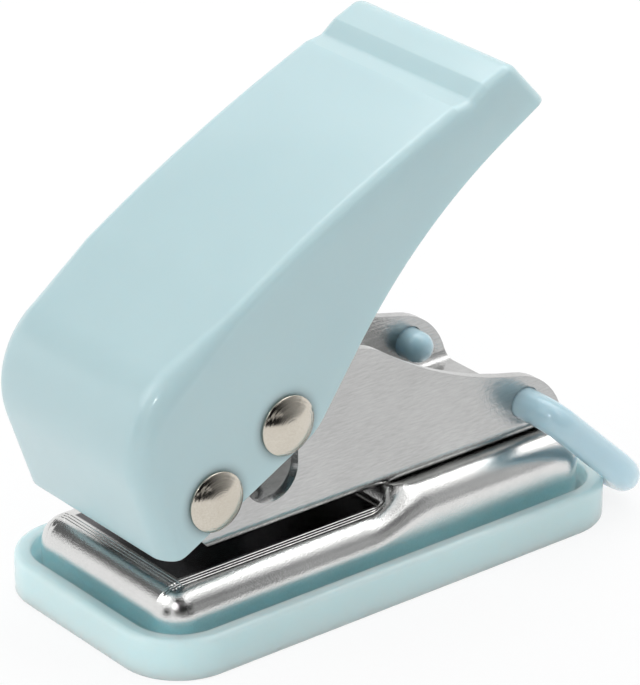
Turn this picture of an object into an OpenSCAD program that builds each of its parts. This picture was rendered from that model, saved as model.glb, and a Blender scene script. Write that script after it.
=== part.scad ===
// Mini hole punch: a hollow lever drives a round punch through a pressed steel base in a chip tray.
// Millimetres. X runs from the paper mouth to the rear, Z is up, and the tray stands on Z = 0.

/* [Tray] */
// Length of the tray, front to rear
tray_l = 62; // [58:0.5:70]
// Width of the tray
tray_w = 30.9; // [29:0.1:35]
// Plan radius of the tray's outer corners
tray_corner_r = 7; // [5.5:0.25:9]
// Height of the rim over the table
rim_h = 4.55; // [3.6:0.05:5.2]
// Width of the rim
rim_w = 1.75; // [1.3:0.05:2.4]
// Thickness of the tray's floor
tray_floor = 1.2; // [0.8:0.1:1.6]
// Radius on the rim's outer top edge
rim_round = 0.7; // [0.2:0.05:0.85]
// Radius on the rim's inner top edge
rim_inner_round = 0.3; // [0.1:0.05:0.4]
// Radius on the tray's bottom edge
foot_round = 0.3; // [0.1:0.05:1]
// Height of the locating rib over the tray's floor
rib_h = 1.8; // [1:0.1:2.6]
// Thickness of the locating rib
rib_w = 1; // [0.7:0.1:1.5]

/* [Pan] */
// Gap between the pan and the rim round it
pan_gap = 1.35; // [0.9:0.05:1.6]
// Thickness of the pan's sheet
pan_sheet = 1; // [0.7:0.05:1.3]
// Height of the low top, which is the die plate, over the table
die_h = 8.2; // [7.4:0.1:9]
// Height of the paper slot
paper_gap = 2; // [1.6:0.1:2.6]
// Edge radius round the low top
low_edge_r = 3.2; // [2.2:0.1:3.8]
// Edge radius round the raised top
high_edge_r = 3.3; // [2.8:0.1:4.4]
// Distance from the hole's centre back to the paper stop
hole_margin = 14.6; // [13:0.2:16]
// Length of the sloped step that stops the paper, along the flat top
step_l = 2.2; // [1.8:0.1:4]
// Length of the same step along the foot of the round edge
step_foot_l = 9; // [5:0.5:11]

/* [Lever] */
// Distance of the pivot ahead of the tray's rear end
pivot_ahead = 53.3; // [52:0.1:54]
// Height of the pivot over the web of the frame
pivot_rise = 7.55; // [7:0.05:8.2]
// Distance from the pivot to the drive rivet
drive_arm = 10.63; // [10:0.05:11.2]
// Angle of the drive arm over level at rest
rest_angle = 32.1; // [30:0.1:34]
// Angle that the lever swings down
lever_swing = 35; // [30:0.5:36]
// Wall of the moulded handle
handle_wall = 1.9; // [1.4:0.1:2.3]
// Side gap between the handle and the frame
handle_gap = 0.4; // [0.25:0.05:0.7]
// Width of the lock groove's floor along the top
groove_l = 1.9; // [1.2:0.05:2.4]
// Depth of the lock groove under the top
groove_depth = 0.55; // [0.3:0.05:0.8]
// Edge radius along the top of the handle
top_edge_r = 1.1; // [0.6:0.1:1.6]
// Edge radius round the nose of the handle
nose_edge_r = 2.6; // [1.6:0.1:4]

/* [Rivets] */
// Diameter of the domed heads
head_d = 6.5; // [6:0.1:7.5]
// Height of the domed heads
head_h = 1.15; // [0.8:0.05:1.6]
// Thickness of the heads' rim
head_rim = 0.3; // [0.15:0.05:0.5]
// Diameter of the pivot rivet's shank
pivot_d = 3; // [2.4:0.1:3.4]
// Diameter of the drive rivet's shank
drive_d = 2.6; // [2.2:0.1:2.9]
// Diameter of the stem that holds a cap
stem_d = 1.4; // [1:0.1:1.6]
// Outer diameter of the sleeve on the pivot
sleeve_d = 4.8; // [4.2:0.1:6]
// Diameter of the frame rivets' heads
base_rivet_head_d = 5; // [4.2:0.1:6]
// Diameter of the frame rivets' shanks
base_rivet_d = 3; // [2.4:0.1:3.4]

/* [Frame] */
// Outer width of the channel
frame_w = 20.4; // [19.6:0.1:22]
// Thickness of the channel's sheet
frame_sheet = 1.2; // [0.9:0.05:1.5]
// Outer radius of the channel's bends
bend_r = 2.4; // [1.55:0.05:2.8]
// Height of the walls over the web's underside
wall_h = 17.5; // [17:0.1:19]
// Width of the slot that the drive rivet runs in
slot_w = 6.8; // [5:0.1:7.4]
// Run of the slot below the rivet's lowest place
slot_overrun = 2; // [0.5:0.1:2.6]
// Height of the collar that guides the punch
collar_h = 1.2; // [0.6:0.1:1.6]

/* [Punch] */
// Diameter of the punched hole
hole_d = 6; // [5:0.1:6.4]
// Height of the punch's tip in the web at rest
tip_lift = 0.5; // [0.2:0.1:1]
// Wire diameter of the spring
wire_d = 0.7; // [0.5:0.05:0.8]
// Curls in the spring
spring_curls = 4.5; // [3:0.5:5]
// Thickness of the washer on the spring
washer_t = 0.6; // [0.4:0.05:0.8]

/* [Bail] */
// Diameter of the bail's rod
rod_d = 3.5; // [2.8:0.1:3.9]
// Distance from the pegs to the crossbar
bail_reach = 17.4; // [16.5:0.1:18.5]
// Distance of the ear holes ahead of the tray's rear end
ear_ahead = 10.6; // [9.8:0.1:11]
// Height of the ear holes over the web's underside
ear_rise = 4.45; // [4.3:0.05:5.1]
// Length of the pegs inside the frame's walls
peg_in = 3.2; // [1.5:0.1:5]
// Bend radius where the arms meet the crossbar
bar_bend_r = 5; // [2.4:0.1:6]
// Bend radius where the arms meet the pegs
peg_bend_r = 2.1; // [2:0.1:2.6]

/* [Hidden] */
$fn = 64;
// Clearances: sliding and running fits, loose gaps and play
fit_gap = 0.05;
loose_gap = 0.3;
arm_gap = 0.5;
slot_play = 0.25;
// Overlap of joined solids, and the reach of a cutter past what it cuts
eps = 0.02;
cut_past = 1;
sheen = "lightgray";
aqua = [0.69, 0.83, 0.85];

// Tray and pan
rear_x = tray_l / 2;
pan_l = tray_l - 2 * (rim_w + pan_gap);
pan_w = tray_w - 2 * (rim_w + pan_gap);
web_z = die_h + paper_gap;
least_r = 0.2;
// Steps round an edge, along the paper stop, and the greatest angle and length of a step on an outline
edge_steps = 6;
step_steps = 14;
arc_step = 7.5;
arc_step_l = 2.5;
// Share by which the sections crowd to the middle of the paper stop
step_crowd = 0.7;
// Least radius left on the handle's inner edges
min_edge_r = 0.4;

// Lever points at rest, with angles counted down from the rest angle
pivot = [rear_x - pivot_ahead, web_z + pivot_rise];
function drive_at(swing) = pivot + drive_arm * [cos(rest_angle - swing), sin(rest_angle - swing)];
drive = drive_at(0);
drive_low = drive_at(lever_swing);
drive_far_x = drive_at(min(rest_angle, lever_swing))[0];
stroke = drive[1] - drive_low[1];
handle_w = frame_w + 2 * (handle_gap + handle_wall);

// Punch and spring
punch_x = (drive[0] + drive_far_x) / 2;
step_x = punch_x + hole_margin;
punch_tip_z = web_z + tip_lift;
punch_top_over = 2;
punch_hollow = 1;
seat_z = web_z + frame_sheet;
collar_wall = 0.7;
washer_z = drive[1] - drive_d / 2 - slot_play - fit_gap - washer_t;
wire_r = wire_d / 2;
spring_r = hole_d / 2 + collar_wall + loose_gap + wire_r;

// Frame outline
slot_r = slot_w / 2;
slot_x = drive_far_x + drive_d / 2 + loose_gap - slot_r;
slot_low_z = drive_low[1] - drive_d / 2 - slot_overrun + slot_r;
slot_high_z = drive[1] + drive_d / 2 + slot_play - slot_r;
wall_top = web_z + wall_h;
front_set_back = 1.9;
frame_front_x = pivot[0] + front_set_back;
eye_r = 4.3;
eye_top_angle = 120;
eye_low_angle = 200;
crest_r = 7;
crest_behind_slot = 6.8;
ear = [rear_x - ear_ahead, web_z + ear_rise];
ear_round_r = 7.95;
ear_round = ear + [-2.55, -4.35];
back_curve_r = 50;
rivet_from_step = 5.3;
rivet_from_ear = 2;
base_rivet_x = [step_x + step_l / 2 + rivet_from_step, ear[0] - rivet_from_ear];
rivet_tail_h = 0.6;

// Bail
rod_r = rod_d / 2;
arm_y = handle_w / 2 + arm_gap + rod_r;
bar_x = rear_x + loose_gap + rod_r;
bail_angle = -acos((bar_x - ear[0]) / bail_reach);

// Extrudes an outline of X and Z right across, along Y
module across(width) {
    rotate([90, 0, 0])
        linear_extrude(width, center = true)
            children();
}

// Extrudes an outline of Y and Z along X
module along(x0, x1) {
    translate([x0, 0, 0])
        rotate([90, 0, 90])
            linear_extrude(x1 - x0)
                children();
}

// Turns a part of revolution about Z onto the Y axis, so that its far end points to +Y
module crosswise(at) {
    translate([at[0], 0, at[1]])
        rotate([-90, 0, 0])
            children();
}

// The waste that rounds off a square corner which points to +X +Y
module corner_waste(r) {
    translate([-r, -r])
        difference() {
            square(r + eps);
            circle(r);
        }
}

module rounded_rect(l, w, r) {
    square([l - 2 * r, w], center = true);
    square([l, w - 2 * r], center = true);
    for (x = [-1, 1], y = [-1, 1])
        translate([x * (l / 2 - r), y * (w / 2 - r)])
            circle(r);
}

// Joins rings of equal count into one closed skin
module skin(rings) {
    n = len(rings[0]);
    last = len(rings) - 1;
    sides = [
        for (j = [0 : last - 1], i = [0 : n - 1])
            let (a = j * n, b = a + n, k = (i + 1) % n)
                each [[a + i, a + k, b + k], [a + i, b + k, b + i]]
    ];
    first_cap = [for (i = [n - 1 : -1 : 0]) i];
    last_cap = [for (i = [0 : n - 1]) last * n + i];
    polyhedron([for (ring = rings) each ring], concat(sides, [first_cap, last_cap]));
}

function unit(v) = v / norm(v);
function turn(v) = [v[1], -v[0]];
function cross2(u, v) = u[0] * v[1] - u[1] * v[0];
function heading(v) = atan2(v[1], v[0]);

// Points along an arc, without as many at each end as left_out says
function arc(centre, r, from, to, left_out = 0) =
    let (steps = max(2, ceil(abs(to - from) / arc_step), ceil(abs(to - from) * PI / 180 * r / arc_step_l)))
    [
        for (i = [left_out : steps - left_out])
            let (a = from + (to - from) * i / steps)
                centre + r * [cos(a), sin(a)]
    ];

// Points round one corner of an outline that runs clockwise, with the outline drawn in by inset.
// A corner is [place, corner radius, edge radius].
function corner_points(before, corner, after, inset) =
    let (
        into = unit(corner[0] - before[0]),
        out = unit(after[0] - corner[0]),
        side = cross2(into, out) < 0 ? 1 : -1,
        bend = acos(max(-1, min(1, into * out))),
        r = side > 0 ? max(corner[1] - inset, eps) : corner[1] + inset,
        place = corner[0] + inset * (turn(into) + turn(out)) / (1 + into * out),
        centre = place - into * r * tan(bend / 2) + side * turn(into) * r,
        arc_l = corner[1] * bend * PI / 180,
        steps = max(1, ceil(bend / arc_step), ceil(arc_l / arc_step_l)),
        start = -side * turn(into)
    )
    [
        for (i = [0 : steps])
            let (a = -side * bend * i / steps)
                centre + r * [start[0] * cos(a) - start[1] * sin(a), start[0] * sin(a) + start[1] * cos(a)]
    ];

// All points of a clockwise outline; insets gives how far each corner is drawn in
function outline(corners, insets) =
    let (n = len(corners))
    [
        for (i = [0 : n - 1])
            each corner_points(corners[(i + n - 1) % n], corners[i], corners[(i + 1) % n], insets[i])
    ];

// Solid of an outline of X and Z, drawn in all round, with its long edges rounded by each corner's edge radius
module rounded_across(corners, width, inset) {
    edges = [for (c = corners) max(min_edge_r, c[2] - inset)];
    function ring(side, a) =
        let (points = outline(corners, [for (e = edges) inset + e * (1 - sin(a))]))
        [
            for (i = [0 : len(points) - 1])
                [points[i][0], side * (width / 2 - inset - edge_of[i] * (1 - cos(a))), points[i][1]]
        ];
    n = len(corners);
    edge_of = [
        for (i = [0 : n - 1])
            each [for (p = corner_points(corners[(i + n - 1) % n], corners[i], corners[(i + 1) % n], 0)) edges[i]]
    ];
    angles = [for (i = [0 : edge_steps]) 90 * i / edge_steps];
    skin(concat(
        [for (a = angles) ring(1, a)],
        [for (i = [edge_steps : -1 : 0]) ring(-1, angles[i])]
    ));
}

module base_tray() {
    module rim_profile() {
        difference() {
            translate([-rim_w, 0])
                square([rim_w, rim_h]);
            translate([0, rim_h])
                corner_waste(rim_round);
            translate([-rim_w, rim_h])
                mirror([1, 0])
                    corner_waste(rim_inner_round);
            mirror([0, 1])
                corner_waste(foot_round);
        }
    }
    half_l = tray_l / 2;
    half_w = tray_w / 2;
    rib_l = pan_l - 2 * (pan_sheet + loose_gap);
    rib_span = pan_w - 2 * (pan_sheet + loose_gap);
    rib_r = low_edge_r - pan_sheet - loose_gap;
    color(aqua) {
        linear_extrude(tray_floor)
            rounded_rect(tray_l - rim_w, tray_w - rim_w, tray_corner_r - rim_w / 2);
        for (x = [-1, 1], y = [-1, 1])
            translate([x * (half_l - tray_corner_r), y * (half_w - tray_corner_r), 0])
                rotate(x > 0 ? (y > 0 ? 0 : -90) : (y > 0 ? 90 : 180))
                    rotate_extrude(angle = 90)
                        translate([tray_corner_r, 0])
                            rim_profile();
        for (end = [0, 180])
            rotate(end)
                translate([half_l, 0, 0])
                    rotate([90, 0, 0])
                        linear_extrude(tray_w - 2 * tray_corner_r, center = true)
                            rim_profile();
        for (side = [90, 270])
            rotate(side)
                translate([half_w, 0, 0])
                    rotate([90, 0, 0])
                        linear_extrude(tray_l - 2 * tray_corner_r, center = true)
                            rim_profile();
        translate([0, 0, tray_floor - eps])
            linear_extrude(rib_h + eps)
                difference() {
                    rounded_rect(rib_l, rib_span, rib_r);
                    rounded_rect(rib_l - 2 * rib_w, rib_span - 2 * rib_w, max(rib_r - rib_w, least_r));
                }
    }
}

// Share of the step's rise that is reached at x, at an angle up the round edge
function step_share(x, angle) =
    let (
        l = step_foot_l + (step_l - step_foot_l) * angle / 90,
        t = max(0, min(1, (x - step_x) / l + 0.5))
    )
    t * t * (3 - 2 * t);

module base_pan() {
    // One side of the section at x, from the foot of the round edge to the flat top, as widths and heights
    function half_section(x, inset, swell) = [
        for (i = [0 : edge_steps])
            let (
                a = 90 * i / edge_steps,
                share = step_share(x, a),
                edge = low_edge_r + (high_edge_r - low_edge_r) * share,
                r = (edge - inset) * swell
            )
            [pan_w / 2 - edge + r * cos(a), die_h + paper_gap * share - edge + r * sin(a)]
    ];
    // Section at x drawn in by inset, with its round edges swollen to their share at the ends
    function section(x, inset, swell, foot) =
        let (half = half_section(x, inset, swell))
        concat(
            [[x, -half[0][0], foot]],
            [for (p = half) [x, -p[0], p[1]]],
            [for (i = [edge_steps : -1 : 0]) [x, half[i][0], half[i][1]]],
            [[x, half[0][0], foot]]
        );
    module shell(inset, foot) {
        front = low_edge_r - inset;
        back = high_edge_r - inset;
        end_arc = [for (i = [0 : edge_steps]) max(4, 90 * i / edge_steps)];
        skin(concat(
            [for (a = end_arc) section(-pan_l / 2 + low_edge_r - front * cos(a), inset, sin(a), foot)],
            [
                for (i = [0 : step_steps])
                    let (t = 2 * i / step_steps - 1)
                        section(step_x + step_foot_l / 2 * t * (1 - step_crowd * (1 - t * t)), inset, 1, foot)
            ],
            [
                for (i = [edge_steps : -1 : 0])
                    let (a = end_arc[i])
                        section(pan_l / 2 - high_edge_r + back * cos(a), inset, sin(a), foot)
            ]
        ));
    }
    color(sheen)
        difference() {
            shell(0, tray_floor);
            shell(pan_sheet, tray_floor - cut_past);
            translate([punch_x, 0, 0])
                cylinder(d = hole_d + 2 * fit_gap, h = web_z);
            for (x = base_rivet_x)
                translate([x, 0, 0])
                    cylinder(d = base_rivet_d, h = wall_top);
        }
}

module frame() {
    // The back edge is a hollow curve that runs smoothly into the crest and the round of the ear
    module side_outline() {
        crest = [slot_x + slot_r + crest_behind_slot, wall_top - crest_r];
        way = unit(ear_round - crest);
        span = norm(ear_round - crest);
        crest_reach = back_curve_r + crest_r;
        ear_reach = back_curve_r + ear_round_r;
        run = (crest_reach * crest_reach - ear_reach * ear_reach + span * span) / (2 * span);
        back_centre = crest + way * run - turn(way) * sqrt(crest_reach * crest_reach - run * run);
        crest_angle = heading(back_centre - crest);
        ear_angle = heading(back_centre - ear_round);
        polygon(concat(
            [[frame_front_x, web_z]],
            arc(pivot, eye_r, eye_low_angle, eye_top_angle),
            [[slot_x - slot_r, wall_top]],
            arc(crest, crest_r, 90, crest_angle),
            arc(back_centre, back_curve_r, 180 + crest_angle, 180 + ear_angle, 1),
            arc(ear_round, ear_round_r, ear_angle, 0),
            [[ear_round[0] + ear_round_r, web_z]]
        ));
    }
    module channel_section() {
        half = frame_w / 2;
        inner = half - frame_sheet;
        inner_r = bend_r - frame_sheet;
        difference() {
            translate([-half, web_z])
                square([frame_w, wall_h]);
            for (side = [0, 1])
                mirror([side, 0])
                    translate([half, web_z])
                        mirror([0, 1])
                            corner_waste(bend_r);
            difference() {
                translate([-inner, seat_z])
                    square([2 * inner, wall_h]);
                for (side = [0, 1])
                    mirror([side, 0])
                        translate([inner, seat_z])
                            mirror([0, 1])
                                corner_waste(inner_r);
            }
        }
    }
    color(sheen)
        difference() {
            union() {
                intersection() {
                    along(pivot[0] - 2 * eye_r, rear_x)
                        channel_section();
                    across(frame_w + cut_past)
                        side_outline();
                }
                translate([punch_x, 0, seat_z - eps])
                    cylinder(d = hole_d + 2 * collar_wall, h = collar_h + eps);
            }
            translate([punch_x, 0, 0])
                cylinder(d = hole_d + 2 * fit_gap, h = wall_top);
            for (x = base_rivet_x)
                translate([x, 0, 0])
                    cylinder(d = base_rivet_d, h = seat_z + cut_past);
            crosswise(pivot)
                cylinder(d = pivot_d + 2 * fit_gap, h = frame_w + cut_past, center = true);
            crosswise(ear)
                cylinder(d = rod_d + 4 * fit_gap, h = frame_w + cut_past, center = true);
            for (z = [slot_low_z, slot_high_z])
                crosswise([slot_x, z])
                    cylinder(r = slot_r, h = frame_w + cut_past, center = true);
            translate([slot_x - slot_r, -frame_w, slot_low_z])
                cube([slot_w, 2 * frame_w, slot_high_z - slot_low_z]);
        }
}

// Outline of a domed rivet head above a flat seat, for a revolve
module dome(r, h, rim) {
    crown = h - rim;
    ball = (r * r + crown * crown) / (2 * crown);
    square([r, rim]);
    intersection() {
        translate([0, h - ball])
            circle(ball, $fn = 128);
        translate([0, rim - eps])
            square([r, h]);
    }
}

module frame_rivets() {
    head = base_rivet_head_d / 2;
    color(sheen)
        for (x = base_rivet_x)
            translate([x, 0, 0]) {
                translate([0, 0, seat_z])
                    rotate_extrude()
                        dome(head, 2 * rivet_tail_h, head_rim);
                translate([0, 0, web_z - pan_sheet - rivet_tail_h])
                    cylinder(d = base_rivet_d, h = frame_sheet + pan_sheet + rivet_tail_h + eps);
                translate([0, 0, web_z - pan_sheet - rivet_tail_h])
                    cylinder(r = head - rivet_tail_h, h = rivet_tail_h);
            }
}

// Corners of the handle's side view, from the pivot, clockwise: place, corner radius, edge radius
nose_foot = [-5.95, -5.45];
nose_top = [-11.5, 10.75];
crown = [13.6, 26.45];
crease = [30.85, 34];
lip_end = [38.1, 37.15];
tip_foot = [42.6, 32.15];
crown_r = 180;
nose_r = 10;
// Corners of its lower edge, from the tip down to the nose, and their radii
tip_trim = [-0.6, -0.35];
sweep_mid = [25.8, 22.2];
sweep_r = 60;
sweep_low = [12.9, 3.7];
sweep_low_r = 6;
nose_flat_l = 1.54;
nose_flat_r = 1.5;
top_way = unit(crease - crown);
top_normal = -turn(top_way);
groove_floor = crease + top_way * groove_l - top_normal * groove_depth;
groove_ramp_l = 2.1;
lip_start = crease + top_way * (groove_l + groove_ramp_l);
// The outline runs on below the lower edge, which trims it
trim_l = 5;
below_nose = nose_foot + unit(nose_foot - nose_top) * trim_l;
below_tip = tip_foot + unit(tip_foot - lip_end) * trim_l;
under_side = [10, -14];
crease_r = 0.15;
groove_r = 1.1;
lip_r = 1.6;
trimmed_r = 0.5;
groove_corners = [
    [crease, crease_r, top_edge_r],
    [groove_floor, groove_r, top_edge_r],
    [lip_start, groove_r, top_edge_r]
];
function top_corners(grooved) = concat(
    [
        [below_nose, trimmed_r, nose_edge_r],
        [nose_top, nose_r, nose_edge_r],
        [crown, crown_r, top_edge_r]
    ],
    grooved ? groove_corners : [],
    [
        [lip_end, lip_r, top_edge_r],
        [below_tip, trimmed_r, top_edge_r],
        [under_side, trimmed_r, top_edge_r]
    ]
);

module handle() {
    // Everything over the lower edge, which sweeps from the tip down past the rivets to the nose
    module over_lower_edge() {
        sky = 2 * tray_l;
        edge = [
            [[-sky, nose_foot[1]], least_r],
            [[-sky, sky], least_r],
            [[sky, sky], least_r],
            [tip_foot + [sky, sky / 2], least_r],
            [tip_foot + tip_trim, trimmed_r],
            [sweep_mid, sweep_r],
            [sweep_low, sweep_low_r],
            [nose_foot + [nose_flat_l, 0], nose_flat_r]
        ];
        polygon(outline(edge, [for (c = edge) 0]));
    }
    pad_h = handle_gap - 2 * fit_gap;
    inner_half = handle_w / 2 - handle_wall;
    color(aqua)
        translate([pivot[0], 0, pivot[1]])
            difference() {
                union() {
                    difference() {
                        intersection() {
                            rounded_across(top_corners(true), handle_w, 0);
                            across(2 * handle_w)
                                over_lower_edge();
                        }
                        rounded_across(top_corners(false), handle_w, handle_wall);
                    }
                    for (side = [-1, 1])
                        translate([0, side * (inner_half - pad_h / 2 + eps), 0])
                            rotate([90, 0, 0])
                                cylinder(d = sleeve_d, h = pad_h + 2 * eps, center = true);
                }
                crosswise([0, 0])
                    cylinder(d = pivot_d, h = handle_w + cut_past, center = true);
                crosswise(drive - pivot)
                    cylinder(d = drive_d, h = handle_w + cut_past, center = true);
            }
}

// Domed rivet that passes right across; its far end is bored for the cap's stem
stem_l = 6;
module rivet(at, shank_d) {
    color(sheen)
        crosswise(at)
            difference() {
                union() {
                    translate([0, 0, -handle_w / 2])
                        mirror([0, 0, 1])
                            rotate_extrude()
                                dome(head_d / 2, head_h, head_rim);
                    cylinder(d = shank_d, h = handle_w, center = true);
                }
                translate([0, 0, handle_w / 2 - stem_l])
                    cylinder(d = stem_d, h = stem_l + cut_past);
            }
}

module rivet_cap(at) {
    color(sheen)
        crosswise(at)
            translate([0, 0, handle_w / 2]) {
                rotate_extrude()
                    dome(head_d / 2, head_h, head_rim);
                translate([0, 0, -stem_l + loose_gap])
                    cylinder(d = stem_d, h = stem_l - loose_gap + eps);
            }
}

module pivot_rivet() {
    rivet(pivot, pivot_d);
}

module pivot_cap() {
    rivet_cap(pivot);
}

module drive_rivet() {
    rivet(drive, drive_d);
}

module drive_cap() {
    rivet_cap(drive);
}

module pivot_sleeve() {
    color(sheen)
        crosswise(pivot)
            difference() {
                cylinder(d = sleeve_d, h = frame_w - 2 * frame_sheet - 2 * fit_gap, center = true);
                cylinder(d = pivot_d + 2 * fit_gap, h = frame_w, center = true);
            }
}

module punch() {
    slot_h = drive_d + 2 * slot_play;
    slot_half = (drive_far_x - drive[0]) / 2 + drive_d / 2 + fit_gap;
    top_z = drive[1] + slot_h / 2 + punch_top_over;
    hollow_r = hole_d * 0.8;
    color(sheen)
        difference() {
            translate([punch_x, 0, punch_tip_z])
                cylinder(d = hole_d, h = top_z - punch_tip_z);
            // Cross slot with round ends for the drive rivet
            for (x = [-1, 1])
                crosswise([punch_x + x * (slot_half - drive_d / 2), drive[1]])
                    cylinder(d = slot_h, h = 2 * hole_d, center = true);
            translate([punch_x - slot_half + drive_d / 2, -hole_d, drive[1] - slot_h / 2])
                cube([2 * slot_half - drive_d, 2 * hole_d, slot_h]);
            // Hollow-ground end with two cutting points
            translate([punch_x, 0, punch_tip_z + punch_hollow - hollow_r])
                rotate([90, 0, 0])
                    cylinder(r = hollow_r, h = 2 * hole_d, center = true);
        }
}

module spring_washer() {
    color(sheen)
        translate([punch_x, 0, washer_z])
            difference() {
                cylinder(r = spring_r + wire_r + fit_gap, h = washer_t);
                translate([0, 0, -cut_past])
                    cylinder(d = hole_d + 2 * fit_gap, h = washer_t + 2 * cut_past);
            }
}

module punch_spring() {
    rings_per_curl = 8;
    tube_sides = 6;
    low_z = seat_z + fit_gap + wire_r;
    high_z = washer_z - fit_gap - wire_r;
    count = ceil(spring_curls * rings_per_curl);
    // Height share along the wire, level over the half curl at each end
    flat = 0.5 / spring_curls;
    function rise(t) = max(0, min(1, (t - flat) / (1 - 2 * flat)));
    function wire_at(t) = [
        spring_r * cos(360 * spring_curls * t),
        spring_r * sin(360 * spring_curls * t),
        low_z + (high_z - low_z) * rise(t)
    ];
    function tube_ring(t) =
        let (c = wire_at(t), out = [c[0], c[1], 0] / spring_r)
        [
            for (i = [0 : tube_sides - 1])
                let (a = 360 * i / tube_sides)
                    c + out * wire_r * cos(a) + [0, 0, wire_r * sin(a)]
        ];
    centres = [for (i = [0 : count]) wire_at(i / count)];
    least_gap = min([
        for (i = [0 : count], j = [i + rings_per_curl - 2 : 1 : count])
            norm(centres[j] - centres[i]) - wire_d
    ]);
    echo(spring_least_gap = least_gap);
    color(sheen)
        translate([punch_x, 0, 0])
            skin([for (i = [0 : count]) tube_ring(i / count)]);
}

module lock_bail() {
    peg_end = frame_w / 2 - frame_sheet - peg_in;
    arm_end = bail_reach - bar_bend_r;
    color(aqua)
        translate([ear[0], 0, ear[1]])
            rotate([0, -bail_angle, 0]) {
                for (side = [0, 1])
                    mirror([0, side, 0]) {
                        translate([0, peg_end + rod_r, 0])
                            sphere(rod_r);
                        translate([0, peg_end + rod_r, 0])
                            rotate([-90, 0, 0])
                                cylinder(r = rod_r, h = arm_y - peg_bend_r - peg_end - rod_r);
                        translate([peg_bend_r, arm_y - peg_bend_r, 0])
                            rotate(90)
                                rotate_extrude(angle = 90)
                                    translate([peg_bend_r, 0])
                                        circle(rod_r);
                        translate([peg_bend_r, arm_y, 0])
                            rotate([0, 90, 0])
                                cylinder(r = rod_r, h = arm_end - peg_bend_r);
                        translate([arm_end, arm_y - bar_bend_r, 0])
                            rotate_extrude(angle = 90)
                                translate([bar_bend_r, 0])
                                    circle(rod_r);
                    }
                translate([bail_reach, 0, 0])
                    rotate([90, 0, 0])
                        cylinder(r = rod_r, h = 2 * (arm_y - bar_bend_r), center = true);
            }
}

base_tray();
base_pan();
frame();
frame_rivets();
handle();
pivot_rivet();
pivot_cap();
pivot_sleeve();
drive_rivet();
drive_cap();
punch();
spring_washer();
punch_spring();
lock_bail();
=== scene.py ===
import math

import bmesh
import bpy
import numpy as np
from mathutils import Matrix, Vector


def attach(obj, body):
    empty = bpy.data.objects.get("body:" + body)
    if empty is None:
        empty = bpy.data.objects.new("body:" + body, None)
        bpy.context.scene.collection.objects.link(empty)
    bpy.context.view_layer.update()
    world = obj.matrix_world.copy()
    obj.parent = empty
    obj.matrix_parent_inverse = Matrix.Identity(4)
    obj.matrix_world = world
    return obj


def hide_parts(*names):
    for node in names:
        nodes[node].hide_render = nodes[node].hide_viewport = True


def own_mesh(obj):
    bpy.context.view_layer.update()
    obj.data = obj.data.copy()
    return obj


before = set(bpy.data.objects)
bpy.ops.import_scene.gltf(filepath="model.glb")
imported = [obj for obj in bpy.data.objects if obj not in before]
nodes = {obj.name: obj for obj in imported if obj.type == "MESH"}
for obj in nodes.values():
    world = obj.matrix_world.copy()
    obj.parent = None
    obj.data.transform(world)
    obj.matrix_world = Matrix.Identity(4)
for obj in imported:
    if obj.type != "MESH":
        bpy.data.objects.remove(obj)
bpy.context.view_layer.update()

scene = bpy.context.scene
scene.view_settings.view_transform = "Standard"
MM = 0.001


# Sizes shared with the solids, in millimetres

PAN_L, PAN_W, PAN_SHEET = 55.8, 24.7, 1.0
TRAY_FLOOR, DIE_H, WEB_Z, SEAT_Z = 1.2, 8.2, 10.2, 11.4
LOW_EDGE_R, HIGH_EDGE_R = 3.2, 3.3
HOLE_D, HOLE_GAP, PUNCH_X = 6.0, 0.05, -12.4826
BASE_RIVET_D, BASE_RIVET_X = 3.0, (8.5174, 18.4)
STEP_X, STEP_L, STEP_FOOT_L = 2.1174, 2.2, 9.0
PIVOT, PIVOT_D = np.array([-22.3, 17.75]), 3.0
DRIVE_ARM, DRIVE_ANGLE, DRIVE_D = 10.63, math.radians(32.1), 2.6
DRIVE = PIVOT + DRIVE_ARM * np.array([math.cos(DRIVE_ANGLE), math.sin(DRIVE_ANGLE)])
HANDLE_W, HANDLE_WALL = 25.0, 1.9
TOP_EDGE_R, NOSE_EDGE_R, LEAST_EDGE_R = 1.1, 2.6, 0.4

# Sizes of the meshes alone: the break on the handle's rim, the least corner radius and the pan's cutters
HANDLE_RIM_R, LEAST_CORNER_R, CUTTER_L = 0.22, 0.02, 6
# Fineness of the meshes: the most length and turn of a facet, and counts
FACET_L, FACET_TURN = 0.9, 4
BORE_SIDES, EDGE_LINES, MATCH_STEPS, BREAK_STEPS = 72, 9, 6000, 3
# Angles in degrees below which neighbouring faces shade as one
SHELL_SMOOTH, SPRING_SMOOTH, SOLID_SMOOTH = 32, 50, 180
# Angles in degrees below which faces become one flat face, and above which an edge is broken
FLAT_ANGLE, BREAK_ANGLE = 0.3, 40
# Distances in metres below which points are merged and edges dissolved
SHELL_WELD, SOLID_WELD, SLIVER_L = 2e-7, 1e-7, 1e-7


# Mesh helpers

def link(ob):
    scene.collection.objects.link(ob)
    return ob


def mesh_object(name, bm):
    me = bpy.data.meshes.new(name)
    bm.to_mesh(me)
    bm.free()
    return link(bpy.data.objects.new(name, me))


def smooth(ob, angle):
    me = ob.data
    me.polygons.foreach_set("use_smooth", np.ones(len(me.polygons), bool))
    me.set_sharp_from_angle(angle=math.radians(angle))


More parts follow.
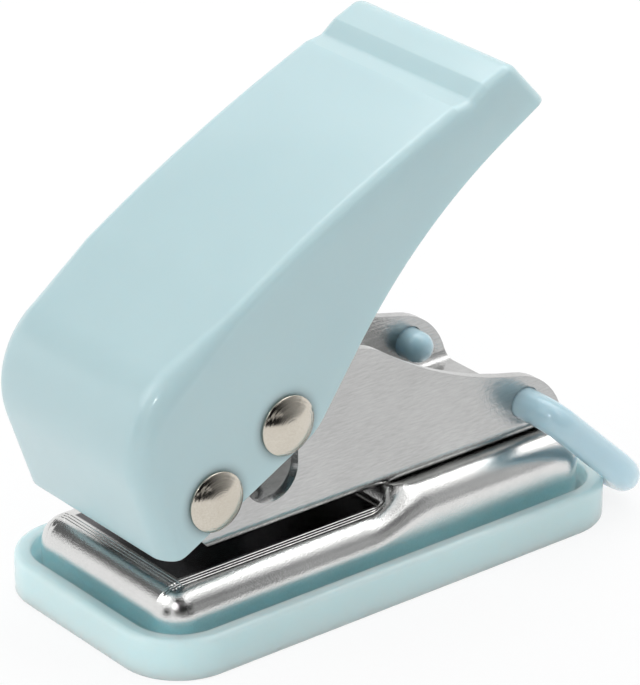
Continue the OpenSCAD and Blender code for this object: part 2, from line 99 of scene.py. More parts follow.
def cut_cylinder(ob, at, axis, radius, length):
    """Bores a round hole through ob."""
    bm = bmesh.new()
    bmesh.ops.create_cone(
        bm, cap_ends=True, segments=BORE_SIDES, radius1=radius * MM, radius2=radius * MM, depth=length * MM,
    )
    cutter = mesh_object("cutter", bm)
    if axis == "Y":
        cutter.rotation_euler = (math.pi / 2, 0, 0)
    cutter.location = [c * MM for c in at]
    m = ob.modifiers.new("bore", "BOOLEAN")
    m.operation = "DIFFERENCE"
    m.solver = "EXACT"
    m.object = cutter
    bpy.context.view_layer.update()
    done = bpy.data.meshes.new_from_object(ob.evaluated_get(bpy.context.evaluated_depsgraph_get()))
    ob.modifiers.clear()
    ob.data = done
    bpy.data.objects.remove(cutter)


def grid_faces(bm, grid, tag, layer, flip=False):
    for row, above in zip(grid[:-1], grid[1:]):
        for j in range(len(row) - 1):
            quad = [row[j], row[j + 1], above[j + 1], above[j]]
            face = bm.faces.new(quad[::-1] if flip else quad)
            face[layer] = tag


def shell_object(name, outer, inner, rim_round):
    """A closed shell from an outer and an inner grid of points (rows, columns, 3).
    The rim between the two is rounded where rim_round is above 0."""
    bm = bmesh.new()
    layer = bm.faces.layers.int.new("sheet")
    grids = [[[bm.verts.new(p * MM) for p in row] for row in sheet] for sheet in (outer, inner)]
    grid_faces(bm, grids[0], 0, layer)
    grid_faces(bm, grids[1], 1, layer, flip=True)

    def border(g):
        rows = len(g)
        return (
            [g[0][j] for j in range(len(g[0]))]
            + [g[i][-1] for i in range(1, rows)]
            + [g[-1][j] for j in range(len(g[0]) - 2, -1, -1)]
            + [g[i][0] for i in range(rows - 2, 0, -1)]
        )

    a, b = border(grids[0]), border(grids[1])
    for i in range(len(a)):
        k = (i + 1) % len(a)
        face = bm.faces.new([a[k], a[i], b[i], b[k]])
        face[layer] = 2
    bmesh.ops.remove_doubles(bm, verts=bm.verts, dist=SHELL_WELD)
    bmesh.ops.dissolve_degenerate(bm, edges=bm.edges, dist=SLIVER_L)
    bmesh.ops.recalc_face_normals(bm, faces=bm.faces)
    if rim_round:
        rim = [e for e in bm.edges if len({f[layer] for f in e.link_faces}) > 1]
        bmesh.ops.bevel(
            bm, geom=rim, offset=rim_round * MM, offset_type="OFFSET", segments=BREAK_STEPS, profile=0.5,
            affect="EDGES", clamp_overlap=False,
        )
        bmesh.ops.remove_doubles(bm, verts=bm.verts, dist=SHELL_WELD)
    bmesh.ops.recalc_face_normals(bm, faces=bm.faces)
    return mesh_object(name, bm)


# Handle: outlines of X and Z from the pivot, drawn in from corner to corner as on the solid

def unit(v):
    return v / np.linalg.norm(v)


def turn(v):
    return np.array([v[1], -v[0]])


def corner_arc(before, corner, after, inset):
    """Points round one corner of a clockwise outline that is drawn in by inset.
    A corner is (place, radius), and a third value, its edge radius, is not used here."""
    into = unit(corner[0] - before[0])
    out = unit(after[0] - corner[0])
    side = 1 if into[0] * out[1] - into[1] * out[0] < 0 else -1
    bend = math.acos(max(-1, min(1, into @ out)))
    r = max(corner[1] - inset, LEAST_CORNER_R) if side > 0 else corner[1] + inset
    place = corner[0] + inset * (turn(into) + turn(out)) / (1 + into @ out)
    centre = place - into * r * math.tan(bend / 2) + side * turn(into) * r
    steps = max(1, math.ceil(math.degrees(bend) / FACET_TURN), math.ceil(corner[1] * bend / FACET_L))
    start = -side * turn(into)
    turns = -side * bend * np.arange(steps + 1) / steps
    c, s = np.cos(turns), np.sin(turns)
    return centre + r * np.stack([start[0] * c - start[1] * s, start[0] * s + start[1] * c], 1)


def pt(x, z):
    return np.array([x, z], float)


NOSE_FOOT, NOSE_TOP, CROWN = pt(-5.95, -5.45), pt(-11.5, 10.75), pt(13.6, 26.45)
CREASE, LIP_END, TIP_FOOT = pt(30.85, 34), pt(38.1, 37.15), pt(42.6, 32.15)
TOP_WAY = unit(CREASE - CROWN)
GROOVE_FALL_L, GROOVE_RISE_L, GROOVE_DEPTH = 1.9, 2.1, 0.55
GROOVE_FLOOR = CREASE + TOP_WAY * GROOVE_FALL_L + turn(TOP_WAY) * GROOVE_DEPTH
LIP_START = CREASE + TOP_WAY * (GROOVE_FALL_L + GROOVE_RISE_L)
TRIM_L = 5
BELOW_NOSE = NOSE_FOOT + unit(NOSE_FOOT - NOSE_TOP) * TRIM_L
BELOW_TIP = TIP_FOOT + unit(TIP_FOOT - LIP_END) * TRIM_L
UNDER_SIDE = pt(10, -14)
NOSE_R, CROWN_R, CREASE_R, GROOVE_R, LIP_R, TRIMMED_R = 10, 180, 0.15, 1.1, 1.6, 0.5


def top_corners(grooved):
    """The outline's corners round the top, as (place, radius, edge radius)."""
    nose = [(BELOW_NOSE, TRIMMED_R, NOSE_EDGE_R), (NOSE_TOP, NOSE_R, NOSE_EDGE_R)]
    groove = [(CREASE, CREASE_R), (GROOVE_FLOOR, GROOVE_R), (LIP_START, GROOVE_R)]
    tip = [(LIP_END, LIP_R), (BELOW_TIP, TRIMMED_R), (UNDER_SIDE, TRIMMED_R)]
    along_top = [(CROWN, CROWN_R)] + (groove if grooved else []) + tip
    return nose + [(place, radius, TOP_EDGE_R) for place, radius in along_top]


def lower_edge():
    """The handle's lower edge, from far ahead of the nose to far behind the tip."""
    far = 124.0
    ahead, behind = pt(-far, NOSE_FOOT[1]), TIP_FOOT + pt(far, far / 2)
    nose_flat = (NOSE_FOOT + pt(1.54, 0), 1.5)
    hollow = (pt(12.9, 3.7), 6)
    sweep = (pt(25.8, 22.2), 60)
    tip = (TIP_FOOT + pt(-0.6, -0.35), 0.5)
    corners = [(ahead, 0), nose_flat, hollow, sweep, tip, (behind, 0)]
    arcs = [
        corner_arc(after, corner, before, 0)[::-1]
        for before, corner, after in zip(corners, corners[1:], corners[2:])
    ]
    return np.concatenate([[ahead]] + arcs + [[behind]])


LOWER = lower_edge()


def crossing(a, b):
    """Where the line from a to b first crosses the lower edge: the place, and its length along the edge."""
    best = None
    run = 0.0
    for p, q in zip(LOWER[:-1], LOWER[1:]):
        d, e = b - a, q - p
        det = d[0] * -e[1] + d[1] * e[0]
        if abs(det) > 1e-12:
            t = ((p - a)[0] * -e[1] + (p - a)[1] * e[0]) / det
            s = (d[0] * (p - a)[1] - d[1] * (p - a)[0]) / det
            if -1e-9 <= t <= 1 and 0 <= s < 1 and best is None:
                best = a + t * d, run + s * np.linalg.norm(e)
        run += np.linalg.norm(q - p)
    return best


def handle_ring(grooved, inset, angle):
    """One lengthwise line of the handle's surface, at an angle up its round edge.
    Gives points (x, z), their distances from the middle plane and its ends' lengths along the lower edge."""
    corners = top_corners(grooved)
    edges = [max(LEAST_EDGE_R, c[2] - inset) for c in corners]
    n = len(corners)
    places, sides = [], []
    for i in range(n - 1):
        drawn_in = inset + edges[i] * (1 - math.sin(angle))
        arc = corner_arc(corners[i - 1], corners[i], corners[(i + 1) % n], drawn_in)
        arc = arc[-1:] if i == 0 else arc[:1] if i == n - 2 else arc
        places.append(arc)
        sides.append(np.full(len(arc), HANDLE_W / 2 - inset - edges[i] * (1 - math.cos(angle))))
    places, sides = np.concatenate(places), np.concatenate(sides)
    places[0], low = crossing(places[1], places[0])
    places[-1], high = crossing(places[-2], places[-1])
    return places, sides, (low, high)


def sample(values, at):
    """Values at fractional indices."""
    i = np.minimum(at.astype(int), len(values) - 2)
    t = at - i
    if values.ndim > 1:
        t = t[:, None]
    return values[i] * (1 - t) + values[i + 1] * t


def lower_between(low, high, shares):
    """Points on the lower edge between two lengths along it."""
    run = np.concatenate([[0], np.cumsum(np.linalg.norm(np.diff(LOWER, axis=0), axis=1))])
    at = low + (high - low) * shares
    return np.stack([np.interp(at, run, LOWER[:, k]) for k in (0, 1)], 1)


def handle_sheet(grooved, inset, indices=None):
    """Grid of points over the handle's outer or inner surface, and its line along the top.
    Indices say where along each line its points lie; without them they follow the facets' length."""
    angles = np.radians(np.linspace(0, 90, EDGE_LINES))
    rings = [handle_ring(grooved, inset, a) for a in angles]
    if indices is None:
        top = rings[-1][0]
        lengths = np.linalg.norm(np.diff(top, axis=0), axis=1)
        counts = np.maximum(1, np.ceil(lengths / FACET_L).astype(int))
        indices = np.concatenate([i + np.arange(k) / k for i, k in enumerate(counts)] + [[len(top) - 1.0]])
    side_path = sample(rings[0][0], indices)
    run = np.concatenate([[0], np.cumsum(np.linalg.norm(np.diff(side_path, axis=0), axis=1))])
    foot = lower_between(*rings[0][2], run / run[-1])
    half = HANDLE_W / 2 - inset
    columns = [(foot, np.full(len(foot), half))]
    columns += [(sample(places, indices), sample(sides, indices)) for places, sides, _ in rings]
    near = [np.stack([xz[:, 0], -y, xz[:, 1]], 1) for xz, y in columns]
    far = [np.stack([xz[:, 0], y, xz[:, 1]], 1) for xz, y in columns]
    grid = np.stack(near + far[::-1], 1)
    return grid + np.array([PIVOT[0], 0, PIVOT[1]]), sample(rings[-1][0], indices)


def match_indices(points, path):
    """Fractional index of the place on path nearest to each point, never running back."""
    fine = np.linspace(0, len(path) - 1, MATCH_STEPS)
    on_path = sample(path, fine)
    near = np.array([fine[np.argmin(((on_path - p) ** 2).sum(1))] for p in points])
    near = np.maximum.accumulate(near)
    near[0], near[-1] = 0, len(path) - 1
    return near


def handle_shell():
    outer, top = handle_sheet(True, 0)
    inner_path = handle_ring(False, HANDLE_WALL, math.pi / 2)[0]
    inner, _ = handle_sheet(False, HANDLE_WALL, match_indices(top, inner_path))
    ob = shell_object("handle_shell", outer, inner, HANDLE_RIM_R)
    for place, d in ((PIVOT, PIVOT_D), (DRIVE, DRIVE_D)):
        cut_cylinder(ob, (place[0], 0, place[1]), "Y", d / 2, 2 * HANDLE_W)
    smooth(ob, SHELL_SMOOTH)
    return ob


# Pan: sections across, which rise over the paper stop

def step_share(x, angle):
    """Share of the step's rise that is reached at x, at an angle up the round edge."""
    length = STEP_FOOT_L + (STEP_L - STEP_FOOT_L) * (angle / 90) ** 3
    t = min(1, max(0, (x - STEP_X) / length + 0.5))
    return t * t * (3 - 2 * t)


# Fine drawn lines where the round edge of the low top runs out, as (distance out from the flat top, drop)
LINES = (
    (1.09, 0.193), (0.79, 0.18), (0.73, 0.125), (0.45, 0.115), (0.39, 0.06), (0.09, 0.05), (0.03, 0), (0, 0),
)
RIDGE_X = -PAN_L / 2 + LOW_EDGE_R
# The round edge up to where the lines start, and the whole round edge of the high end
LOW_ARC = np.radians(np.linspace(0, 65, 12))
HIGH_ARC = np.radians(np.linspace(90, 0, 16))
WALL_ROWS = 4
# Rows of points along the low flat, into the step, up it, out of it and along the high flat
PAN_ROWS = (12, 14, 21, 14, 12)


def round_drop(out, r):
    """How far a round edge of radius r has dropped at a distance out from the flat top."""
    return r - math.sqrt(r * r - out * out)


def half_section(x, inset, swell, lift):
    """One side of the pan's section at x, from the foot up to the flat top, as (width, height).
    Swell is the size of the round edge, and lift raises the top, at the lines of the front end."""
    arc = [(math.cos(a), math.sin(a), math.degrees(a), None) for a in LOW_ARC]
    lined = [(out / LOW_EDGE_R, 1, math.degrees(math.acos(out / LOW_EDGE_R)), drop) for out, drop in LINES]
    half = []
    for c, s, angle, drop in arc + lined:
        share = step_share(x, angle)
        edge = LOW_EDGE_R + (HIGH_EDGE_R - LOW_EDGE_R) * share
        r = (edge - inset) * swell
        if drop is not None:
            plain = round_drop(c, 1)
            s = 1 - (plain if inset else drop / LOW_EDGE_R + (plain - drop / LOW_EDGE_R) * share)
        rise = lift if drop is not None else 0
        half.append((PAN_W / 2 - edge + r * c, DIE_H + (WEB_Z - DIE_H) * share - edge + r * s + rise))
    wall = [(half[0][0], TRAY_FLOOR + (half[0][1] - TRAY_FLOOR) * i / WALL_ROWS) for i in range(WALL_ROWS)]
    return wall + half


def pan_sheet(inset):
    """Grid of points over the pan's outer or inner surface, section by section from the front to the rear."""
    def section(x, swell=1.0, lift=0.0):
        half = half_section(x, inset, swell, lift)
        return [(x, -y, z) for y, z in half] + [(x, y, z) for y, z in half[::-1]]

    front, back = LOW_EDGE_R - inset, HIGH_EDGE_R - inset
    foot_start, foot_end = STEP_X - STEP_FOOT_L / 2, STEP_X + STEP_FOOT_L / 2
    top_start, top_end = STEP_X - STEP_L / 2, STEP_X + STEP_L / 2
    rear_edge = PAN_L / 2 - HIGH_EDGE_R
    ends = [RIDGE_X, foot_start, top_start, top_end, foot_end, rear_edge]
    stretches = [np.linspace(a, b, n)[1:] for a, b, n in zip(ends, ends[1:], PAN_ROWS)]
    stops = np.concatenate(stretches)[:-1]
    rows = [section(RIDGE_X - front * math.cos(a), math.sin(a)) for a in LOW_ARC]
    for out, drop in LINES:
        fall = round_drop(out, LOW_EDGE_R)
        lift = 0 if inset else fall - drop
        rows.append(section(RIDGE_X - front * out / LOW_EDGE_R, 1 - fall / LOW_EDGE_R, lift))
    rows += [section(x) for x in stops]
    rows += [section(rear_edge + back * math.cos(a), math.sin(a)) for a in HIGH_ARC]
    return np.array(rows)


def pan_end(sheet, row):
    """The flat end face that closes a sheet at its first or last section, as one more row at the foot."""
    flat = sheet[row].copy()
    flat[:, 2] = TRAY_FLOOR
    return flat


def pan_shell():
    sheets = []
    for inset in (0, PAN_SHEET):
        sheet = pan_sheet(inset)
        sheets.append(np.concatenate([[pan_end(sheet, 0)], sheet, [pan_end(sheet, -1)]]))
    ob = shell_object("pan_shell", sheets[0], sheets[1], 0)
    cut_cylinder(ob, (PUNCH_X, 0, DIE_H), "Z", HOLE_D / 2 + HOLE_GAP, CUTTER_L)
    for x in BASE_RIVET_X:
        cut_cylinder(ob, (x, 0, WEB_Z), "Z", BASE_RIVET_D / 2, CUTTER_L)
    smooth(ob, SHELL_SMOOTH)
    return ob


# Spring: the same coil as the solid's, with a round wire

def spring_coil():
    wire_r, curls, coil_r, seat_gap = 0.35, 4.5, 4.35, 0.05
    low, high = SEAT_Z + seat_gap + wire_r, 20.8
    flat = 0.5 / curls
    ease = 0.35
    rings_per_curl, sides = 40, 14
    count = int(curls * rings_per_curl)
    turns = [2 * math.pi * k / sides for k in range(sides)]
    up = np.array([0, 0, 1.0])
    bm = bmesh.new()
    rings = []
    for i in range(count + 1):
        t = i / count
        rise = min(1, max(0, (t - flat) / (1 - 2 * flat)))
        rise = rise * rise * (3 - 2 * rise) * ease + rise * (1 - ease)
        a = 2 * math.pi * curls * t
        out = np.array([math.cos(a), math.sin(a), 0])
        centre = np.array([PUNCH_X, 0, low + (high - low) * rise]) + coil_r * out
        rings.append([
            bm.verts.new((centre + wire_r * (out * math.cos(b) + up * math.sin(b))) * MM) for b in turns
        ])
    for r, s in zip(rings[:-1], rings[1:]):
        for k in range(sides):
            m = (k + 1) % sides
            bm.faces.new([r[k], s[k], s[m], r[m]])
    bm.faces.new(rings[0])
    bm.faces.new(rings[-1][::-1])
    bmesh.ops.recalc_face_normals(bm, faces=bm.faces)
    ob = mesh_object("spring_coil", bm)
    smooth(ob, SPRING_SMOOTH)
    return ob


# Materials

def srgb(r, g, b):
    """A colour written as on a screen, 0 to 255, in linear light."""
    def linear(c):
        return ((c / 255 + 0.055) / 1.055) ** 2.4 if c > 10 else c / 255 / 12.92

    return linear(r), linear(g), linear(b), 1.0


def grey(level):
    return level, level, level, 1


class Nodes:
    """Short calls for building one material's nodes."""

    def __init__(self, name):
        self.material = bpy.data.materials.new(name)
        self.material.use_nodes = True
        self.tree = self.material.node_tree
        self.shader = self.tree.nodes["Principled BSDF"]

    def new(self, kind, inputs=None, **settings):
        n = self.tree.nodes.new(kind)
        for k, v in settings.items():
            setattr(n, k, v)
        for k, v in (inputs or {}).items():
            self.set(n.inputs[k], v)
        return n

    def set(self, socket, value):
        if isinstance(value, bpy.types.NodeSocket):
            self.tree.links.new(value, socket)
        else:
            socket.default_value = value

    def shade(self, **inputs):
        for k, v in inputs.items():
            self.set(self.shader.inputs[k.replace("_", " ")], v)

    def place(self, scale=(1, 1, 1), location=(0, 0, 0)):
        coords = self.new("ShaderNodeTexCoord").outputs["Object"]
        return self.new(
            "ShaderNodeMapping", {"Vector": coords, "Scale": scale, "Location": location}
        ).outputs["Vector"]

    def noise(self, vector, scale, detail=3.0, rough=0.55):
        return self.new(
            "ShaderNodeTexNoise", {"Vector": vector, "Scale": scale, "Detail": detail, "Roughness": rough}
        ).outputs["Fac"]

    def ramp(self, value, low, high, to_low, to_high):
        return self.new(
            "ShaderNodeMapRange",
            {"Value": value, "From Min": low, "From Max": high, "To Min": to_low, "To Max": to_high},
        ).outputs["Result"]

    def tint(self, value, low, high):
        n = self.new("ShaderNodeMix", data_type="RGBA")
        self.set(n.inputs["Factor"], value)
        self.set(n.inputs[6], low)
        self.set(n.inputs[7], high)
        return n.outputs[2]

    def add(self, a, b):
        return self.new("ShaderNodeMath", {0: a, 1: b}, operation="ADD").outputs[0]

    def times(self, a, b):
        return self.new("ShaderNodeMath", {0: a, 1: b}, operation="MULTIPLY").outputs[0]

    def coordinates(self):
        """X, the distance from the middle plane, and Z."""
        n = self.new("ShaderNodeSeparateXYZ", {0: self.place()})
        off = self.new("ShaderNodeMath", {0: n.outputs["Y"]}, operation="ABSOLUTE").outputs[0]
        return n.outputs["X"], off, n.outputs["Z"]

    def source(self, socket):
        """What feeds one of the shader's sockets."""
        return self.shader.inputs[socket].links[0].from_socket

    def radius(self, axis):
        """Distance from an axis across the part, given by its X and Z."""
        flat = self.place(scale=(1, 0, 1), location=(-axis[0] * MM, 0, -axis[1] * MM))
        return self.new("ShaderNodeVectorMath", {0: flat}, operation="LENGTH").outputs["Value"]

    def bump(self, height, depth, normal=None):
        n = self.new("ShaderNodeBump", {"Height": height, "Strength": 1.0, "Distance": depth})
        if normal is not None:
            self.set(n.inputs["Normal"], normal)
        return n.outputs["Normal"]


def plastic(name, colour, deep, rough=0.34, glow=0.4, depth=0.0025, shaded_heads=()):
    """Moulded plastic: faint flow clouds in the colour, a fine matt grain and a soft gloss.
    Round each rivet head, given by its axis, the colour is darkened by painted shade, the head's contact
    shadow."""
    m = Nodes(name)
    at = m.place()
    base = m.tint(m.ramp(m.noise(at, 45, 2), 0.2, 0.8, 0, 1), deep, colour)
    for axis in shaded_heads:
        # Painted shade: a dark ring round the head, where its contact shadow falls
        head_shade = m.ramp(m.radius(axis), 3.0 * MM, 4.5 * MM, 1, 0)
        base = m.tint(m.times(m.times(head_shade, head_shade), 0.75), base, srgb(70, 96, 104))
    m.shade(
        Base_Color=base,
        Roughness=m.ramp(m.noise(at, 260, 2), 0.25, 0.75, rough - 0.03, rough + 0.04),
        Normal=m.bump(m.noise(at, 2600, 2), 0.0000012, m.bump(m.noise(at, 120, 2), 0.000012)),
        IOR=1.47,
        Subsurface_Weight=glow,
        Subsurface_Radius=(0.7, 1.0, 1.1),
        Subsurface_Scale=depth,
        Coat_Weight=0.5,
        Coat_Roughness=0.14,
    )
    return m.material


def metal(name, colour, deep, rough, spread, grain, grain_depth, wave_depth, streaks, finish_or_shade=None):
    """Plated or polished steel: drawn streaks, cloudy gloss, fine grain and slow waves of a pressed sheet.
    Its roughness runs from rough to rough + spread. The last argument works part of the surface further, or
    paints shade on part of it."""
    m = Nodes(name)
    at = m.place()
    along = m.noise(m.place(scale=streaks), 1, 4, 0.6)
    cloud = m.noise(at, 160, 4)
    mix = m.add(m.times(along, 0.55), m.times(cloud, 0.45))
    m.shade(
        Base_Color=m.tint(m.ramp(mix, 0.32, 0.68, 0, 1), deep, colour),
        Metallic=1.0,
        Roughness=m.ramp(mix, 0.3, 0.7, rough, rough + spread),
        Normal=m.bump(
            m.add(m.times(m.noise(at, grain, 3), 0.6), m.times(along, 0.4)), grain_depth,
            m.bump(m.noise(at, 55, 2), wave_depth),
        ),
    )
    if finish_or_shade:
        finish_or_shade(m)
    return m.material


def turned(axis):
    """Fine rings round an axis, a place of X and Z, and a gloss spread across them."""
    def finish_or_shade(m):
        rings = m.new(
            "ShaderNodeTexNoise", {"W": m.radius(axis), "Scale": 5200, "Detail": 2.0}, noise_dimensions="1D"
        ).outputs["Fac"]
        tangent = m.new("ShaderNodeTangent", direction_type="RADIAL", axis="Y").outputs["Tangent"]
        m.shade(
            Normal=m.bump(rings, 0.000012, m.source("Normal")),
            Anisotropic=0.5, Anisotropic_Rotation=0.25, Tangent=tangent,
        )
    return finish_or_shade


def die_painted_shade(m):
    """The die plate is painted dark inside its edge: painted shade and a painted dark reflection of the
    frame's web above it.
    """
    x, off, _ = m.coordinates()
    edge = PAN_W / 2 - LOW_EDGE_R - 0.3
    beside = m.ramp(off, (edge - 0.1) * MM, (edge + 0.1) * MM, 1, 0)
    front = m.ramp(x, (RIDGE_X + 0.2) * MM, (RIDGE_X + 0.4) * MM, 0, 1)
    rear = m.ramp(x, 0.9 * MM, 1.3 * MM, 1, 0)
    shade_mask = m.times(beside, m.times(front, rear))
    # Painted shade: the plate's colour goes nearly black there
    m.shade(Base_Color=m.tint(shade_mask, m.source("Base Color"), (0.1, 0.1, 0.105, 1)))


def rubbed_bend(m):
    """The outside of the channel's bends is rubbed bright by the press."""
    _, off, z = m.coordinates()
    bend = m.times(m.ramp(off, 8.3 * MM, 8.6 * MM, 0, 1), m.ramp(z, 12.2 * MM, 12.5 * MM, 1, 0))
    rest = m.ramp(bend, 0, 1, 1, 0)
    m.shade(Roughness=m.add(m.times(m.source("Roughness"), rest), m.times(bend, 0.07)))


AQUA_PALE, AQUA_DEEP = srgb(189, 214, 217), srgb(183, 209, 213)
AQUA = plastic("aqua_plastic", AQUA_PALE, AQUA_DEEP, glow=1.0, depth=0.006)
# The handle's plastic gets painted shade round its rivet heads
AQUA_HANDLE = plastic("aqua_handle", AQUA_PALE, AQUA_DEEP, shaded_heads=(PIVOT, DRIVE))
BAIL = plastic("bail_plastic", srgb(183, 211, 221), srgb(176, 206, 217), rough=0.21)
# The polished pan gets painted shade on its die plate
POLISHED = metal(
    "polished_steel", colour=(0.78, 0.78, 0.77, 1), deep=(0.66, 0.66, 0.65, 1), rough=0.06, spread=0.04,
    grain=5600, grain_depth=0.000038, wave_depth=0.000045, streaks=(6000, 7000, 7000), finish_or_shade=die_painted_shade,
)
SATIN = metal(
    "satin_steel", colour=(0.57, 0.57, 0.565, 1), deep=(0.45, 0.45, 0.445, 1), rough=0.2, spread=0.06,
    grain=2400, grain_depth=0.00005, wave_depth=0.0001, streaks=(700, 700, 5000), finish_or_shade=rubbed_bend,
)
PIVOT_NICKEL, DRIVE_NICKEL = (
    metal(
        name, colour=(0.67, 0.625, 0.55, 1), deep=(0.55, 0.505, 0.43, 1), rough=0.1, spread=0.06,
        grain=5200, grain_depth=0.000004, wave_depth=0.00002, streaks=(6000, 6000, 9000), finish_or_shade=turned(axis),
    )
    for name, axis in (("nickel_pivot", PIVOT), ("nickel_drive", DRIVE))
)
TOOL = metal(
    "tool_steel", colour=(0.6, 0.6, 0.61, 1), deep=(0.46, 0.46, 0.47, 1), rough=0.17, spread=0.08,
    grain=4000, grain_depth=0.000006, wave_depth=0.00002, streaks=(8000, 8000, 600),
)
FINISH = {
    "base_tray": AQUA, "handle": AQUA_HANDLE, "lock_bail": BAIL,
    "base_pan": POLISHED, "frame": SATIN, "frame_rivets": SATIN,
    "pivot_rivet": PIVOT_NICKEL, "pivot_cap": PIVOT_NICKEL,
    "drive_rivet": DRIVE_NICKEL, "drive_cap": DRIVE_NICKEL,
    "pivot_sleeve": SATIN, "spring_washer": SATIN, "punch": TOOL, "punch_spring": TOOL,
}


def dress(ob, material):
    ob.data.materials.clear()
    ob.data.materials.append(material)


for name, material in FINISH.items():
    dress(nodes[name], material)


# The solids that stay, with the width of the fine break on their sharp edges; the moulded ones get none
EDGE_BREAK = {
    "base_tray": 0, "lock_bail": 0, "frame": 0.18, "frame_rivets": 0.05, "pivot_sleeve": 0.08,
    "pivot_rivet": 0.06, "pivot_cap": 0.06, "drive_rivet": 0.06, "drive_cap": 0.06,
    "spring_washer": 0.06, "punch": 0.06,
}


def refine(ob, width):
    """Whole flat faces, smooth shading and, where width is above 0, broken edges."""
    if "custom_normal" in ob.data.attributes:
        ob.data.attributes.remove(ob.data.attributes["custom_normal"])
    smooth(ob, SOLID_SMOOTH)
    weld = ob.modifiers.new("weld", "WELD")
    weld.merge_threshold = SOLID_WELD
    flat = ob.modifiers.new("whole faces", "DECIMATE")
    flat.decimate_type = "DISSOLVE"
    flat.angle_limit = math.radians(FLAT_ANGLE)
    if width:
        bevel = ob.modifiers.new("edge break", "BEVEL")
        bevel.width = width * MM
        bevel.segments = BREAK_STEPS
        bevel.limit_method = "ANGLE"
        bevel.angle_limit = math.radians(BREAK_ANGLE)
        bevel.use_clamp_overlap = True
    weighted = ob.modifiers.new("weighted normals", "WEIGHTED_NORMAL")
    weighted.keep_sharp = False
    weighted.weight = 100


for name, width in EDGE_BREAK.items():
    refine(nodes[name], width)

for piece, node, body, slot, material in (
    (handle_shell(), "handle", "lever", "aqua_plastic", AQUA_HANDLE),
    (pan_shell(), "base_pan", "base", "polished_steel", POLISHED),
    (spring_coil(), "punch_spring", "base", "tool_steel", TOOL),
):
    dress(piece, material)
    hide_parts(node)
    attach(piece, body)
    if node == "punch_spring":
        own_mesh(piece)


# Floor, light and camera, in metres, watts and degrees

FLOOR_HALF, FLOOR_BELOW = 2.0, 0.00003
LAMP_AIM, FLAG_AIM = (0, 0, 0.025), (0, 0, 0.02)
STRIP_H, STRIP_WATTS, STRIP_SPREAD = 0.006, 0.0005, 25
CAMERA_PLACE, CAMERA_DOWN, CAMERA_TURN = (-0.24505, -0.30828, 0.20986), 25.27, -38.58
# The photo's height and the focal length in pixels, and the camera's sensor in millimetres
PHOTO_H, FOCAL_PX, SENSOR = 685, 4210.5, 36
# Where a flag's shade changes, in shares of its width from its middle
FLAG_FADE = (-0.45, 0.15)


def floor_material():
    """Pale floor that shows nearly white to the eye and in reflections and still takes the shadow."""
    m = bpy.data.materials.new("floor")
    m.use_nodes = True
    t = m.node_tree
    t.nodes.clear()
    out = t.nodes.new("ShaderNodeOutputMaterial")
    mix = t.nodes.new("ShaderNodeMixShader")
    matt = t.nodes.new("ShaderNodeBsdfDiffuse")
    matt.inputs["Color"].default_value = (0.92, 0.92, 0.92, 1)
    lit = t.nodes.new("ShaderNodeEmission")
    lit.inputs["Color"].default_value = (1, 1, 1, 1)
    lit.inputs["Strength"].default_value = 1.0
    t.links.new(seen_directly(t, 0.85), mix.inputs["Fac"])
    t.links.new(matt.outputs[0], mix.inputs[1])
    t.links.new(lit.outputs[0], mix.inputs[2])
    t.links.new(mix.outputs[0], out.inputs["Surface"])
    return m


def seen_directly(tree, share):
    """Share for camera, glossy and transmission rays, and nothing for the rest."""
    path = tree.nodes.new("ShaderNodeLightPath")
    total = path.outputs["Is Camera Ray"]
    for ray in ("Is Glossy Ray", "Is Transmission Ray"):
        most = tree.nodes.new("ShaderNodeMath")
        most.operation = "MAXIMUM"
        tree.links.new(total, most.inputs[0])
        tree.links.new(path.outputs[ray], most.inputs[1])
        total = most.outputs[0]
    scaled = tree.nodes.new("ShaderNodeMath")
    scaled.operation = "MULTIPLY"
    scaled.inputs[1].default_value = share
    tree.links.new(total, scaled.inputs[0])
    return scaled.outputs[0]


def add_floor():
    bm = bmesh.new()
    bmesh.ops.create_grid(bm, x_segments=1, y_segments=1, size=FLOOR_HALF)
    ob = mesh_object("floor", bm)
    ob.location = (0, 0, -FLOOR_BELOW)
    dress(ob, floor_material())


def add_world(ambient):
    """Soft light from all round, and white where the world is seen directly."""
    world = bpy.data.worlds.new("studio")
    scene.world = world
    world.use_nodes = True
    t = world.node_tree
    t.nodes.clear()
    out = t.nodes.new("ShaderNodeOutputWorld")
    mix = t.nodes.new("ShaderNodeMixShader")
    soft = t.nodes.new("ShaderNodeBackground")
    soft.inputs["Color"].default_value = (0.97, 0.985, 1, 1)
    soft.inputs["Strength"].default_value = ambient
    white = t.nodes.new("ShaderNodeBackground")
    white.inputs["Color"].default_value = (1, 1, 1, 1)
    white.inputs["Strength"].default_value = 1.0
    t.links.new(seen_directly(t, 1.0), mix.inputs["Fac"])
    t.links.new(soft.outputs[0], mix.inputs[1])
    t.links.new(white.outputs[0], mix.inputs[2])
    t.links.new(mix.outputs[0], out.inputs["Surface"])


def add_lamp(name, place, size, watts, target=LAMP_AIM):
    lamp = bpy.data.lights.new(name, "AREA")
    lamp.shape = "RECTANGLE"
    lamp.size, lamp.size_y = size
    lamp.energy = watts
    ob = link(bpy.data.objects.new(name, lamp))
    ob.location = place
    aim = Vector(target) - Vector(place)
    ob.rotation_euler = aim.to_track_quat("-Z", "Y").to_euler()
    return ob


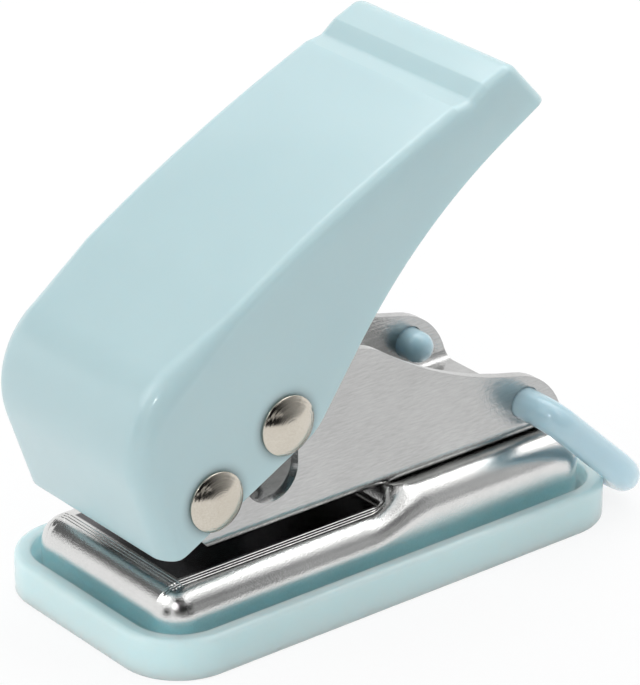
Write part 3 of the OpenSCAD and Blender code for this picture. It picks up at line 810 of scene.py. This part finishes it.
def add_flag(name, place, width, height, shade, end_shade=None):
    """A dark studio flag that shows in glossy surfaces alone. Its shade may change along its width."""
    bm = bmesh.new()
    bmesh.ops.create_grid(bm, x_segments=1, y_segments=1, size=0.5)
    ob = mesh_object(name, bm)
    ob.scale = (width, height, 1)
    ob.location = place
    aim = Vector(FLAG_AIM) - Vector(place)
    ob.rotation_euler = aim.to_track_quat("Z", "Y").to_euler()
    m = Nodes(name)
    colour = grey(shade)
    if end_shade is not None:
        across = m.new("ShaderNodeSeparateXYZ", {0: m.place()}).outputs["X"]
        colour = m.tint(m.ramp(across, *FLAG_FADE, 0, 1), grey(end_shade), colour)
    m.shade(Base_Color=colour, Roughness=0.9, Specular_IOR_Level=0)
    dress(ob, m.material)
    ob.visible_camera = ob.visible_diffuse = ob.visible_shadow = ob.visible_transmission = False
    return ob


def add_camera():
    cam = bpy.data.cameras.new("camera")
    cam.sensor_width = SENSOR
    cam.lens = FOCAL_PX * SENSOR / PHOTO_H
    cam.clip_start = 0.01
    ob = link(bpy.data.objects.new("camera", cam))
    ob.location = CAMERA_PLACE
    ob.rotation_euler = (math.radians(90 - CAMERA_DOWN), 0, math.radians(CAMERA_TURN))
    scene.camera = ob


add_floor()
add_world(ambient=0.66)
add_lamp("key", (0.5, -0.42, 0.74), (0.85, 0.68), 1.5)
add_lamp("left", (-0.68, 0.16, 0.68), (0.4, 0.4), 1.0)
add_lamp("top", (0.25, 0.2, 0.9), (0.9, 0.5), 3.4)
add_lamp("corner", (-0.58, -0.5, 0.55), (0.06, 0.06), 0.6)

# Two faint narrow strips that light the foot of the tray and show in no reflection
for name, place, length, target in (
    ("front", (-0.062, 0, 0.004), 0.05, (-0.031, 0, 0.002)),
    ("side", (0, -0.048, 0.004), 0.12, (0, -0.015, 0.002)),
):
    strip = add_lamp(name, place, (length, STRIP_H), STRIP_WATTS, target)
    strip.visible_glossy = False
    strip.data.spread = math.radians(STRIP_SPREAD)

add_flag("flag_near", (0.68, -0.8, 0.72), 0.9, 0.65, 0.02)
add_flag("flag_left", (-0.3, 0.76, 0.62), 0.7, 0.6, 0.15)
add_flag("flag_over", (-0.32, -0.6, 0.74), 0.65, 0.75, 0.02)
add_flag("flag_front", (-0.88, -0.2, 0.2), 0.45, 0.4, 0.03)
add_flag("flag_corner", (-0.56, -0.8, 0.3), 0.5, 0.45, 0.03)
add_flag("flag_horizon", (0.62, -0.9, 0.12), 0.9, 0.25, 0.4)
add_flag("flag_low", (0.03, -0.11, 0.015), 0.24, 0.03, 0.01, 0.8)
flag_high = add_flag("flag_high", (0.03, -0.11, 0.062), 0.24, 0.05, 0.01, 0.8)
# This one also takes soft light from the near side
flag_high.visible_diffuse = True
add_camera()
